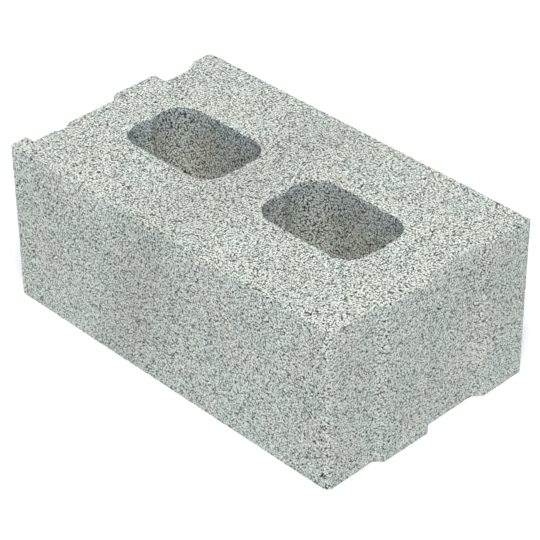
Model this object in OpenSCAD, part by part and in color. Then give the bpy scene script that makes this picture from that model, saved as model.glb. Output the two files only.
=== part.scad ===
// Hollow concrete building block with two through cores and interlocking ends.
// +X is the right end with the tongues, -Y the front face, and Z = 0 the lower bed.

/* [Block] */
// Length over the tongues, from the left end's lands to the right end's crowns
block_l = 495; // [400:5:600]
// Width, from the front face to the back face
block_w = 290; // [240:5:360]
// Height, from bed to bed
block_h = 200; // [100:5:300]
// Radius of the two upright corners where an end is set back
corner_r = 8; // [2:1:15]

/* [Cores] */
// Length of each core, along the block
core_l = 144; // [100:2:180]
// Width of each core, across the block
core_w = 98; // [80:2:130]
// Radius of the upright corners of each core
core_r = 30; // [10:1:36]
// Web between the two cores
web_w = 66; // [30:2:90]
// How far the pair of cores lies from mid-length toward the left end
core_left = 4; // [0:0.5:5]
// How far the pair of cores lies from mid-width toward the front face
core_front = 0; // [0:0.5:5]
// Height of the upright ridge that the former's joint leaves in each core's left wall
ridge_out = 3; // [0.5:0.5:5]
// Depth of the upright groove that it leaves in each core's right wall
groove_in = 1.5; // [0.5:0.5:5]
// Width of that ridge and that groove at the wall
joint_mark_w = 18; // [6:1:20]

/* [Right end] */
// How far the tongues stand out
tongue_out = 9; // [4:0.5:14]
// Width of the middle tongue's crown
mid_tongue_w = 66; // [40:1:90]
// Width of the back tongue's crown
back_tongue_w = 61.5; // [40:0.5:90]
// Run of each tongue's sloping flank
flank_run = 9.5; // [4:0.5:14]

/* [Left end] */
// Clearance between a tongue's crown and the floor of the recess it enters
joint_gap = 0.5; // [0:0.5:3]
// Play between the upright steps of two blocks laid end to end
joint_play = 6; // [0:1:12]
// Width of the land at the front corner
front_land_w = 22.5; // [15:0.5:40]
// Width of the recessed band at the back corner
back_band_w = 26.5; // [16:0.5:40]
// How much a groove's flank rises for each millimetre of its run
groove_rise = 0.55; // [0.4:0.05:1]
// Width of the front groove, over its flank
front_groove_w = 54; // [40:1:60]
// Depth of the front groove
front_groove_d = 12.5; // [10:0.5:20]
// Width of the deeper strip at the foot of the front groove's flank
front_strip_w = 11; // [4:1:16]
// How much deeper that strip is
front_strip_d = 3; // [1:0.5:6]
// Width of the back groove, over its flank
back_groove_w = 53; // [40:1:60]
// Depth of the back groove
back_groove_d = 20.5; // [14:0.5:24]

/* [Hidden] */

$fn = 96;
// Longer than any overlap that a cut needs to pass clean through a face
past = 1;

x_left = -block_l / 2;
x_right = block_l / 2 - tongue_out;
y_front = -block_w / 2;
y_back = block_w / 2;

recess_d = tongue_out + joint_gap;
right_step_y = -joint_play / 2;
left_step_y = joint_play / 2;
mid_flank_y = right_step_y - mid_tongue_w;
back_flank_y = y_back - back_tongue_w;

front_groove_y = y_front + front_land_w;
front_groove_end = front_groove_y + front_groove_w;
front_foot_y = front_groove_end - (front_groove_d + front_strip_d - recess_d) / groove_rise;
front_strip_y = front_foot_y - front_strip_w;
back_groove_end = y_back - back_band_w;
back_groove_y = back_groove_end - back_groove_w;
back_foot_y = back_groove_end - (back_groove_d - recess_d) / groove_rise;

// Right end from the front face to the back face: set back, tongue, set back, tongue
right_end = [
    [x_right, y_front],
    [x_right, mid_flank_y - flank_run],
    [x_right + tongue_out, mid_flank_y],
    [x_right + tongue_out, right_step_y],
    [x_right, right_step_y],
    [x_right, back_flank_y - flank_run],
    [x_right + tongue_out, back_flank_y],
    [x_right + tongue_out, y_back]
];

// Left end from the back face to the front face: recess, groove, land, recess, groove, land
left_end = [
    [x_left + recess_d, y_back],
    [x_left + recess_d, back_groove_end],
    [x_left + back_groove_d, back_foot_y],
    [x_left + back_groove_d, back_groove_y],
    [x_left, back_groove_y],
    [x_left, left_step_y],
    [x_left + recess_d, left_step_y],
    [x_left + recess_d, front_groove_end],
    [x_left + front_groove_d + front_strip_d, front_foot_y],
    [x_left + front_groove_d + front_strip_d, front_strip_y],
    [x_left + front_groove_d, front_strip_y],
    [x_left + front_groove_d, front_groove_y],
    [x_left, front_groove_y],
    [x_left, y_front]
];

// What rounding takes off a corner whose sharp point is at the origin, with the solid at -x and +y
module corner_waste(r) {
    difference() {
        translate([-r, -past]) square([r + past, r + past]);
        translate([-r, r]) circle(r);
    }
}

// Plan of the block without its cores
module body_plan() {
    difference() {
        polygon(concat(right_end, left_end));
        translate([x_right, y_front]) corner_waste(corner_r);
        translate([x_left + recess_d, y_back]) rotate(180) corner_waste(corner_r);
    }
}

module rounded_rectangle(l, w, r) {
    square([l - 2 * r, w], center = true);
    square([l, w - 2 * r], center = true);
    for (sx = [-1, 1], sy = [-1, 1])
        translate([sx * (l / 2 - r), sy * (w / 2 - r)]) circle(r);
}

// Triangle that points to +x from the y axis, with a foot that overlaps what it joins
module joint_mark(out) {
    half_w = joint_mark_w / 2;
    polygon([[-past, -half_w], [0, -half_w], [out, 0], [0, half_w], [-past, half_w]]);
}

// Plan of one core, centred on the origin
module core_plan() {
    difference() {
        rounded_rectangle(core_l, core_w, core_r);
        translate([-core_l / 2, 0]) joint_mark(ridge_out);
    }
    translate([core_l / 2, 0]) joint_mark(groove_in);
}

module concrete_block() {
    color([0.72, 0.75, 0.72])
        difference() {
            linear_extrude(block_h) body_plan();
            for (side = [-1, 1])
                translate([side * (core_l + web_w) / 2 - core_left, -core_front, -past])
                    linear_extrude(block_h + 2 * past) core_plan();
        }
}

concrete_block();
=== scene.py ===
"""The looks of a hollow concrete block: one cast piece of open-grained, pale grey-green concrete."""

import math

import bpy
import numpy as np
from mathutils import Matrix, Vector, noise
from mathutils.geometry import delaunay_2d_cdt

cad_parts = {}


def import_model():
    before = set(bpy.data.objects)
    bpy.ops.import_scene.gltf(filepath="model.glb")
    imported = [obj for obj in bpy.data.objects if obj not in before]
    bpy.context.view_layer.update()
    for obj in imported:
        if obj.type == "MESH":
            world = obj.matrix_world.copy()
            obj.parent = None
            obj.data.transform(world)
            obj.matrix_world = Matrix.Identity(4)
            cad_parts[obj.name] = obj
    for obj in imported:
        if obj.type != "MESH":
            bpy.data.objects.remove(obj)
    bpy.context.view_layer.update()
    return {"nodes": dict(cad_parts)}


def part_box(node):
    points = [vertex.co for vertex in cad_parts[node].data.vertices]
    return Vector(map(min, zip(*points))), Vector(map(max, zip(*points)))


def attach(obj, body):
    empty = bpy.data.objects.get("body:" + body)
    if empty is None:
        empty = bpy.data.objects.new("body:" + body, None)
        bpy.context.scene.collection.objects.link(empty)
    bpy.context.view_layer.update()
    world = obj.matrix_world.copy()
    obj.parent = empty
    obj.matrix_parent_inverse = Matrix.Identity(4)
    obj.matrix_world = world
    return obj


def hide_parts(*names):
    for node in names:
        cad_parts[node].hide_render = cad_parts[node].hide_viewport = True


NODE = "concrete_block"
BODY = "root"
MM = 0.001

# Mesh of the cast surface
CORNER_R = 2.2 * MM  # softening of the upright corners
ARC_STEP = 25  # most degrees that one edge of a softened corner turns
STRAIGHT = 3  # degrees below which a corner counts as none
TRIM_LIMIT = 0.49  # share of a side that the softening of one of its corners may take
ARRIS_R = 0.5 * MM  # rounding of the arrises round both beds and the cores' mouths
ARRIS_STEPS = 4
COLUMN_GAP = 2.3 * MM  # between the upright lines of vertices on the outer walls
CORE_COLUMN_GAP = 3.2 * MM
ROW_GAP = 4.6 * MM  # between the level lines of vertices
UPPER_GAP = 3.8 * MM  # between the vertices on the upper bed
LOWER_GAP = 6.0 * MM
SCATTER = 0.22  # how far a bed's vertices stray from their grid, in gaps
RIM_CLEAR = 0.55  # how far they stay from a bed's outline, in gaps
SEED = 7
LEVEL = 0.01 * MM  # height within which a vertex of the CAD lies on the upper bed
SAME_POINT = 1e-7  # metres within which two vertices of a bed are one
ROUNDING = 1e-6  # of a part, forgiven when a stretch is divided into equal parts

# Relief of the cast surface, all of it inward from the mould
WAVINESS = 0.2 * MM
WAVE = 14 * MM  # length of its waves
WAVE_LAYERS = (0.8, 2.0, 3)  # fall-off, ratio of sizes and number of the layers of noise in it
CRUMBLE = 0.3 * MM  # scale of what an arris loses between two grains: 0.36 mm at most
CRUMBLE_REACH = 5.0 * MM
CHIP = 3.2 * MM  # size of the lost grains
CHIP_GROUP = 9 * MM  # size of the stretches that lose more of them
CHIP_GROUP_SHARE = 0.6
CHIP_BIAS = 0.25  # raises the share of an arris that loses any
FADE = 1.5  # power by which what happens at an arris fades away from it
ON_BED = 0.1 * MM  # height within which a vertex lies on a bed

# Grains of the concrete, and what each size of them adds to the height of the surface
GRID_TURN = (0.5, 0.7, 0.4)  # turns the cells' own grid, so that no face of the block lies along it
GRAIN = 2.3 * MM
SMALL_GRAIN = 1.45 * MM
SAND = 0.8 * MM
SAND_ROUGHNESS = 0.6
GRAIN_SHARE = 0.4
SMALL_SHARE = 0.6
SAND_SHARE = 0.3
GRAIN_WANDER = 1.1 * MM  # how far the grains' outlines wander
WANDER_SIZE = 1.21 * MM  # size of the noise that bends them
BUMP = 0.25 * MM

# From the height of the surface to its tone: painted shade dark down between the grains, and pale grain
# tops that are partly their own colour and partly a painted highlight
RANGE = 0.22  # of height, to either side of the middle
# tone of the painted shade at the bottom of the pits, and of the palest grain tops, partly a painted
# highlight
DARK = 0.02
PALE = 0.87
CURVE = 0.4  # how much more of the tone lies near the pale end
BED_PIT_SHADE = 1.27  # how strongly each kind of surface shows the painted shade in its pits
FRONT_PIT_SHADE = 1.11
END_PIT_SHADE = 1.0
CORE_PIT_SHADE = 1.45

# Broad tone: a darker band round the block's middle; painted shade on the walls, more on the ends and
# on the slopes between front and end; and painted light that makes the walls paler near the upper bed
BAND_X = -66 * MM  # middle of the band at the lower bed
BAND_LEAN = 0.22
BAND_HALF = 52 * MM
BAND_DARK = 0.12
# painted shade: walls, ends and the slopes between them darker than the beds
WALL_PAINTED_SHADE = 0.03
END_PAINTED_SHADE = 0.075
SLOPE_PAINTED_SHADE = 0.05  # painted shade on corners and flanks that lie between front and end
# painted light: walls paler towards the upper bed
EDGE_PAINTED_LIGHT = 0.06
EDGE_REACH = 60 * MM
MOTTLE = 0.04
MOTTLE_SIZE = 70 * MM
MOTTLE_LAYERS = (1.0, 2.0, 2)
TONE_LIFT = 1.012  # tone before any of these
BED_SLOPE = 0.9  # a surface whose normal is nearer than this to upright belongs to a bed

# Hue, and painted light on the cores' walls
COOL_PATCH = (0.916, 1.0, 0.950)
CREAM_PATCH = (0.948, 1.0, 0.934)
PATCH_SIZE = 45 * MM
PATCH_EDGES = (0.35, 0.65)
MOUTH_PAINTED_COOL_LIGHT = (0.985, 1.03, 1.105)  # painted cool light on the cores' walls, near the mouths
DEEP_PAINTED_WARM_LIGHT = (1.18, 1.13, 1.1)  # painted warm bounce light on the cores' walls, deep inside
DEEP = 60 * MM  # how far below a mouth the walls have the painted warm light
NO_PAINTED_LIGHT = (1.0, 1.0, 1.0)
ROUGHNESS = 0.92
SPECULAR = 0.25

# Camera, in metres and degrees, and its lens in mm
CAMERA_AT = (1.4375, -1.3885, 1.5094)
CAMERA_TURN = (54.496, 0.393, 45.556)
LENS = 149.82
SENSOR = 36.0
CLIP_END = 50

# Studio
WALL_LIGHT = 0.79
CEILING_LIGHT = 0.21
WALL_TOP = 0.2  # sine of the elevation where the white walls have given way to the ceiling
WALL_COLOUR = (0.973, 1, 1.06, 1)
KEY_LIGHT = 3.6
KEY_COLOUR = (1.01, 1.0, 0.97)
KEY_AZIMUTH = 45.3  # degrees, like the two below
KEY_ELEVATION = 66
KEY_SPREAD = 18
FLOOR = (0.84, 0.86, 0.88, 1)
FLOOR_ROUGHNESS = 0.9
FLOOR_SIZE = 40


def main():
    """The block in place of its CAD node, and the studio round it."""
    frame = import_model()
    add_camera()
    block = cast_block(frame["nodes"][NODE])
    block.data.materials.append(concrete())
    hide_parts(NODE)
    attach(block, BODY)
    add_studio()


# ---------------------------------------------------------------- the block's mesh


def bed_loops(mesh):
    """The outlines of the upper bed: loops of (x, y), solid on their left, the outer one first."""
    mesh.calc_loop_triangles()
    points = [tuple(round(c, 6) for c in v.co) for v in mesh.vertices]
    top = max(p[2] for p in points)
    edges = set()
    for triangle in mesh.loop_triangles:
        corners = [points[i] for i in triangle.vertices]
        if all(abs(p[2] - top) < LEVEL for p in corners):
            edges.update(zip(corners, corners[1:] + corners[:1]))
    after = {a: b for a, b in edges if (b, a) not in edges}
    loops = []
    while after:
        first, here = after.popitem()
        loop = [first]
        while here != first:
            loop.append(here)
            here = after.pop(here)
        loops.append(np.array(loop)[:, :2])
    return sorted(loops, key=lambda loop: -np.ptp(loop[:, 0]))


def softened(loop, radius):
    """The loop with each corner cut to an arc of that radius, or less where its sides are short."""
    result = []
    for a, b, c in zip(np.roll(loop, 1, 0), loop, np.roll(loop, -1, 0)):
        back, ahead = np.linalg.norm(a - b), np.linalg.norm(c - b)
        u, w = (a - b) / back, (c - b) / ahead
        turn = math.pi - math.acos(np.clip(u @ w, -1, 1))
        if turn < math.radians(STRAIGHT):
            continue
        trim = min(radius * math.tan(turn / 2), TRIM_LIMIT * back, TRIM_LIMIT * ahead)
        centre = b + (u + w) * trim / (1 + u @ w)
        first, last = b + trim * u - centre, b + trim * w - centre
        for t in np.linspace(0, 1, 1 + math.ceil(math.degrees(turn) / ARC_STEP)):
            arc = math.sin((1 - t) * turn) * first + math.sin(t * turn) * last
            result.append(centre + arc / math.sin(turn))
    return np.array(result)


def resampled(loop, gap):
    """The loop with its long straight stretches divided into equal parts no longer than gap."""
    result = []
    for a, b in zip(loop, np.roll(loop, -1, 0)):
        parts = max(1, math.ceil(np.linalg.norm(b - a) / gap - ROUNDING))
        result += [a + (b - a) * k / parts for k in range(parts)]
    return np.array(result)


def inward(loop):
    """At each point of a loop, the mitred direction into the solid that moves its sides by one unit."""
    ahead = np.roll(loop, -1, 0) - loop
    ahead /= np.linalg.norm(ahead, axis=1)[:, None]
    left = np.stack([-ahead[:, 1], ahead[:, 0]], 1)
    mean = left + np.roll(left, 1, 0)
    return mean * 2 / (mean**2).sum(1)[:, None]


def wall_rows(height):
    """(height, inset) of each level line of vertices on a wall, from the lower arris to the upper."""
    arris = []
    for k in range(ARRIS_STEPS + 1):
        a = math.pi / 2 * k / ARRIS_STEPS
        arris.append((ARRIS_R * (1 - math.sin(a)), ARRIS_R * (1 - math.cos(a))))
    arris = arris[::-1]
    first = arris[-1][0]
    parts = math.ceil((height - 2 * first) / ROW_GAP)
    middle = [(first + (height - 2 * first) * k / parts, 0.0) for k in range(1, parts)]
    return arris + middle + [(height - z, inset) for z, inset in reversed(arris)]


def inside(points, loop):
    """Whether each point is inside the closed loop."""
    x, y = points[:, :1], points[:, 1:]
    x0, y0 = loop[None, :, 0], loop[None, :, 1]
    x1, y1 = np.roll(x0, -1, 1), np.roll(y0, -1, 1)
    with np.errstate(divide="ignore", invalid="ignore"):
        crossing = x0 + (y - y0) / (y1 - y0) * (x1 - x0)
    return (((y0 > y) != (y1 > y)) & (x < crossing)).sum(1) % 2 == 1


def on_solid(points, loops):
    """Whether each point is inside the outer loop and outside the cores."""
    keep = inside(points, loops[0])
    for core in loops[1:]:
        keep &= ~inside(points, core)
    return keep


def scattered(loops, gap, rng):
    """Points on a bed, at about that gap, none of them close to one of its loops."""
    low, high = loops[0].min(0), loops[0].max(0)
    columns = np.arange(low[0], high[0], gap)
    rows = np.arange(low[1], high[1], gap * math.sqrt(0.75))
    grid = [(x + (j % 2) * gap / 2, y) for j, y in enumerate(rows) for x in columns]
    points = np.array(grid) + rng.uniform(-SCATTER, SCATTER, (len(grid), 2)) * gap
    points = points[on_solid(points, loops)]
    for loop in loops:
        near = np.array([((loop - p) ** 2).sum(1).min() for p in points])
        points = points[near > (RIM_CLEAR * gap) ** 2]
    return points


def bed_faces(loops, loop_ids, gap, rng, first_id):
    """The triangles of a bed, and the scattered points they use, numbered from first_id."""
    extra = scattered(loops, gap, rng)
    flat = [Vector(p) for loop in loops for p in loop] + [Vector(p) for p in extra]
    ids = [i for group in loop_ids for i in group]
    ids += range(first_id, first_id + len(extra))
    rims, start = [], 0
    for loop in loops:
        n = len(loop)
        rims += [(start + k, start + (k + 1) % n) for k in range(n)]
        start += n
    out_points, _, faces, origins, _, _ = delaunay_2d_cdt(flat, rims, [], 1, SAME_POINT)
    place = np.array([tuple(p) for p in out_points])
    keep = on_solid(np.array([place[list(f)].mean(0) for f in faces]), loops)
    return extra, [[ids[origins[i][0]] for i in f] for f, kept in zip(faces, keep) if kept]


def cast_block(cad):
    """The block as cast, on the CAD node's outline, with softened corners and crumbling arrises."""
    low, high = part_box(NODE)
    rng = np.random.default_rng(SEED)
    rows = wall_rows(high.z - low.z)
    loops = []
    for k, loop in enumerate(bed_loops(cad.data)):
        loops.append(resampled(softened(loop, CORNER_R), CORE_COLUMN_GAP if k else COLUMN_GAP))

    points, faces, in_core, rims_low, rims_high = [], [], [], [], []
    for k, loop in enumerate(loops):
        into, n, base = inward(loop), len(loop), len(points)
        for j, (z, inset) in enumerate(rows):
            points += [(x, y, low.z + z) for x, y in loop + into * inset]
            in_core += [float(k > 0 and 0 < j < len(rows) - 1)] * n
        for j in range(len(rows) - 1):
            for i in range(n):
                a, b = base + j * n + i, base + j * n + (i + 1) % n
                faces.append([a, b, b + n, a + n])
        rims_low.append(list(range(base, base + n)))
        rims_high.append(list(range(base + (len(rows) - 1) * n, base + len(rows) * n)))

    inset_loops = [loop + inward(loop) * ARRIS_R for loop in loops]
    extra, upper = bed_faces(inset_loops, rims_high, UPPER_GAP, rng, len(points))
    points += [(x, y, high.z) for x, y in extra]
    faces += upper
    extra, lower = bed_faces(inset_loops, rims_low, LOWER_GAP, rng, len(points))
    points += [(x, y, low.z) for x, y in extra]
    faces += [f[::-1] for f in lower]
    in_core += [0.0] * (len(points) - len(in_core))

    mesh = bpy.data.meshes.new("block")
    mesh.from_pydata(points, [], faces)
    mesh.shade_smooth()
    paint_tone_and_shade(mesh, low, high, in_core)
    weather(mesh, low, high, loops)
    block = bpy.data.objects.new("block", mesh)
    bpy.context.scene.collection.objects.link(block)
    return block


def paint_tone_and_shade(mesh, low, high, in_core):
    """Writes the cores' mask, the broad tone with its painted shade and painted light, and how strongly
    each surface shows its painted pit shade, to the mesh, for the material.
    """
    shade, pit_shade_strength = [], []
    for vertex, normal, core in zip(mesh.vertices, mesh.vertex_normals, in_core):
        x, _, z = vertex.co
        centre = BAND_X + BAND_LEAN * (z - low.z)
        tone = TONE_LIFT - BAND_DARK * math.exp(-(((x - centre) / BAND_HALF) ** 2))
        tone += MOTTLE * noise.fractal(vertex.co / MOTTLE_SIZE, *MOTTLE_LAYERS)
        along, across, up = (abs(part) for part in normal.vector)
        end = along > across and not core
        if up < BED_SLOPE:
            # painted shade: walls darker than the beds, the ends darker still, the slopes between front
            # and end darker again; painted light: walls paler towards the upper bed
            tone -= END_PAINTED_SHADE if end else WALL_PAINTED_SHADE
            tone -= SLOPE_PAINTED_SHADE * 2 * along * across
            tone += EDGE_PAINTED_LIGHT * max(0.0, 1 - (high.z - z) / EDGE_REACH) ** FADE
        shade.append(tone)
        # how strongly each kind of surface shows its painted pit shade
        if core:
            pit_shade_strength.append(CORE_PIT_SHADE)
        elif up > BED_SLOPE:
            pit_shade_strength.append(BED_PIT_SHADE)
        else:
            pit_shade_strength.append(END_PIT_SHADE if end else FRONT_PIT_SHADE)
    for name, values in (("shade", shade), ("pit_shade_strength", pit_shade_strength), ("in_core", in_core)):
        layer = mesh.attributes.new(name, "FLOAT", "POINT")
        layer.data.foreach_set("value", values)


def weather(mesh, low, high, loops):
    """Moves the surface inward a little: long low waves, and grains lost along the arrises."""
    n = len(mesh.vertices)
    co = np.empty(n * 3, np.float32)
    normal = np.empty(n * 3, np.float32)
    mesh.vertices.foreach_get("co", co)
    mesh.vertex_normals.foreach_get("vector", normal)
    co, normal = co.reshape(-1, 3), normal.reshape(-1, 3)
    depth = np.empty(n)
    for i, (p, d) in enumerate(zip(co, arris_distance(co, low, high, loops))):
        wave = 0.5 + 0.5 * noise.fractal(Vector(p) / WAVE, *WAVE_LAYERS)
        loss = 0.0
        if d < CRUMBLE_REACH:
            chips = noise.noise(Vector(p) / CHIP)
            chips += CHIP_GROUP_SHARE * noise.noise(Vector(p) / CHIP_GROUP)
            loss = CRUMBLE * max(0.0, CHIP_BIAS + chips) * (1 - d / CRUMBLE_REACH) ** FADE
        depth[i] = WAVINESS * min(1.0, max(0.0, wave)) + loss
    co -= normal * depth[:, None]
    mesh.vertices.foreach_set("co", co.ravel())
    mesh.update()


def arris_distance(co, low, high, loops):
    """How far each vertex is from the nearest arris of a bed."""
    to_bed = np.minimum(co[:, 2] - low.z, high.z - co[:, 2])
    rim = np.concatenate(loops)
    to_wall = np.zeros(len(co))
    on_bed = to_bed < ON_BED
    to_wall[on_bed] = [np.sqrt(((rim - p) ** 2).sum(1).min()) for p in co[on_bed, :2]]
    return np.maximum(to_bed, to_wall)


# ---------------------------------------------------------------- material


def feed(socket, source):
    """Links the source to the socket, or sets the socket to it where it is a plain value."""
    if isinstance(source, bpy.types.NodeSocket):
        socket.id_data.links.new(source, socket)
    else:
        socket.default_value = source


def concrete():
    """Pale grey-green grains bonded together, with painted shade in the gaps between them and a painted
    highlight on their pale tops.
    """
    mat = bpy.data.materials.new("concrete")
    mat.use_nodes = True
    nodes = mat.node_tree.nodes
    shader = nodes["Principled BSDF"]
    shader.inputs["Roughness"].default_value = ROUGHNESS
    shader.inputs["Specular IOR Level"].default_value = SPECULAR

    def add(kind, sockets, **settings):
        node = nodes.new(kind)
        for name, value in settings.items():
            setattr(node, name, value)
        for name, source in sockets.items():
            feed(node.inputs[name], source)
        return node

    def maths(operation, a, b, c=0.0):
        return add("ShaderNodeMath", {0: a, 1: b, 2: c}, operation=operation).outputs[0]

    def spread(value, low, high, interpolation="SMOOTHSTEP"):
        sockets = {"Value": value, "From Min": low, "From Max": high}
        node = add("ShaderNodeMapRange", sockets, interpolation_type=interpolation)
        return node.outputs[0]

    def colour_mix(share, a, b, blend="MIX"):
        sockets = {0: share, 6: a, 7: b}
        node = add("ShaderNodeMix", sockets, data_type="RGBA", blend_type=blend)
        return node.outputs[2]

    def stored(name):
        return add("ShaderNodeAttribute", {}, attribute_name=name).outputs["Fac"]

    position = add("ShaderNodeTexCoord", {}).outputs["Object"]
    sockets = {"Vector": position, "Rotation": GRID_TURN}
    place = add("ShaderNodeMapping", sockets, vector_type="POINT").outputs[0]

    def rough(size, detail, roughness=0.5):
        sockets = {"Vector": place, "Scale": 1 / size, "Detail": detail, "Roughness": roughness}
        return add("ShaderNodeTexNoise", sockets, noise_dimensions="3D")

    # Height of the surface: two sizes of rounded grains whose outlines wander, and sand
    wander = rough(WANDER_SIZE, 1.0).outputs["Color"]
    sockets = {0: wander, 1: (GRAIN_WANDER,) * 3, 2: place}
    bent = add("ShaderNodeVectorMath", sockets, operation="MULTIPLY_ADD").outputs[0]

    def cells(size):
        sockets = {"Vector": bent, "Scale": 1 / size}
        settings = {"voronoi_dimensions": "3D", "feature": "F1"}
        return add("ShaderNodeTexVoronoi", sockets, **settings).outputs["Distance"]

    sand = rough(SAND, 2.0, SAND_ROUGHNESS).outputs["Fac"]
    height = maths("MULTIPLY_ADD", cells(GRAIN), -GRAIN_SHARE, 0.5 + 0.5 * GRAIN_SHARE)
    height = maths("MULTIPLY_ADD", cells(SMALL_GRAIN), -SMALL_SHARE, height)
    height = maths("MULTIPLY_ADD", sand, SAND_SHARE, height)

    # Tone: painted shade dark down between the grains, and pale grain tops, partly their own colour and
    # partly a painted highlight
    middle = 0.5 - 0.5 * SMALL_SHARE + 0.5 * SAND_SHARE
    # each kind of surface shows its painted pit shade with its own strength
    pit_shaded_height = maths("MULTIPLY_ADD", maths("SUBTRACT", height, middle), stored("pit_shade_strength"), middle)
    tone = spread(pit_shaded_height, middle - RANGE, middle + RANGE, "LINEAR")
    tone = maths("MULTIPLY", tone, maths("MULTIPLY_ADD", tone, -CURVE, 1 + CURVE))
    tone = maths("MULTIPLY_ADD", tone, PALE - DARK, DARK)
    # broad tone from the mesh, with its painted shade and painted light
    tone = maths("MULTIPLY", tone, stored("shade"))

    # Hue: creamier and cooler patches, and on the cores' walls painted light, cool at the mouths and
    # warm deep inside
    patches = spread(rough(PATCH_SIZE, 2.0).outputs["Fac"], *PATCH_EDGES)
    hue = colour_mix(patches, (*COOL_PATCH, 1), (*CREAM_PATCH, 1))
    low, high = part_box(NODE)
    z = add("ShaderNodeSeparateXYZ", {0: position}).outputs["Z"]
    to_bed = maths("MINIMUM", maths("SUBTRACT", z, low.z), maths("SUBTRACT", high.z, z))
    # painted light in the cores: cool at the mouths, warm bounce light deep inside
    core_painted_light = colour_mix(spread(to_bed, 0.0, DEEP), (*MOUTH_PAINTED_COOL_LIGHT, 1), (*DEEP_PAINTED_WARM_LIGHT, 1))
    core_painted_light = colour_mix(stored("in_core"), (*NO_PAINTED_LIGHT, 1), core_painted_light)
    hue = colour_mix(1.0, hue, core_painted_light, "MULTIPLY")

    base = add("ShaderNodeVectorMath", {0: hue, "Scale": tone}, operation="SCALE")
    bump = add("ShaderNodeBump", {"Strength": 1.0, "Distance": BUMP, "Height": height})
    feed(shader.inputs["Base Color"], base.outputs[0])
    feed(shader.inputs["Normal"], bump.outputs[0])
    return mat


# ---------------------------------------------------------------- camera and studio


def add_camera():
    """The camera, off the block's front right corner, looking down on it."""
    camera = bpy.data.objects.new("camera", bpy.data.cameras.new("camera"))
    bpy.context.scene.collection.objects.link(camera)
    camera.data.sensor_width = SENSOR
    camera.data.lens = LENS
    camera.data.clip_end = CLIP_END
    camera.location = CAMERA_AT
    camera.rotation_euler = [math.radians(turn) for turn in CAMERA_TURN]
    bpy.context.scene.camera = camera


def add_key():
    """A light from far off, high above the camera, soft because its disc is many degrees across."""
    lamp = bpy.data.lights.new("key", "SUN")
    lamp.angle = math.radians(KEY_SPREAD)
    lamp.energy = KEY_LIGHT
    lamp.color = KEY_COLOUR
    light = bpy.data.objects.new("key", lamp)
    light.rotation_euler = (math.radians(90 - KEY_ELEVATION), 0, math.radians(KEY_AZIMUTH))
    bpy.context.scene.collection.objects.link(light)


def add_surround():
    """White walls all round, under a greyer ceiling."""
    world = bpy.data.worlds.new("surround")
    world.use_nodes = True
    nodes, links = world.node_tree.nodes, world.node_tree.links
    direction = nodes.new("ShaderNodeTexCoord")
    parts = nodes.new("ShaderNodeSeparateXYZ")
    strength = nodes.new("ShaderNodeMapRange")
    strength.interpolation_type = "SMOOTHSTEP"
    strength.inputs["From Min"].default_value = 0.0
    strength.inputs["From Max"].default_value = WALL_TOP
    strength.inputs["To Min"].default_value = WALL_LIGHT
    strength.inputs["To Max"].default_value = CEILING_LIGHT
    links.new(direction.outputs["Generated"], parts.inputs[0])
    links.new(parts.outputs["Z"], strength.inputs["Value"])
    links.new(strength.outputs[0], nodes["Background"].inputs["Strength"])
    nodes["Background"].inputs["Color"].default_value = WALL_COLOUR
    bpy.context.scene.world = world


def add_floor():
    """A wide, pale, dull floor at the height of the block's lower bed."""
    bpy.ops.mesh.primitive_plane_add(size=FLOOR_SIZE)
    floor = bpy.context.object
    floor.name = "floor"
    mat = bpy.data.materials.new("floor")
    mat.use_nodes = True
    shader = mat.node_tree.nodes["Principled BSDF"]
    shader.inputs["Base Color"].default_value = FLOOR
    shader.inputs["Roughness"].default_value = FLOOR_ROUGHNESS
    floor.data.materials.append(mat)


def add_studio():
    """A pale floor in a white room, and one soft light from high above the camera."""
    bpy.context.scene.view_settings.view_transform = "Standard"
    add_surround()
    add_key()
    add_floor()


main()
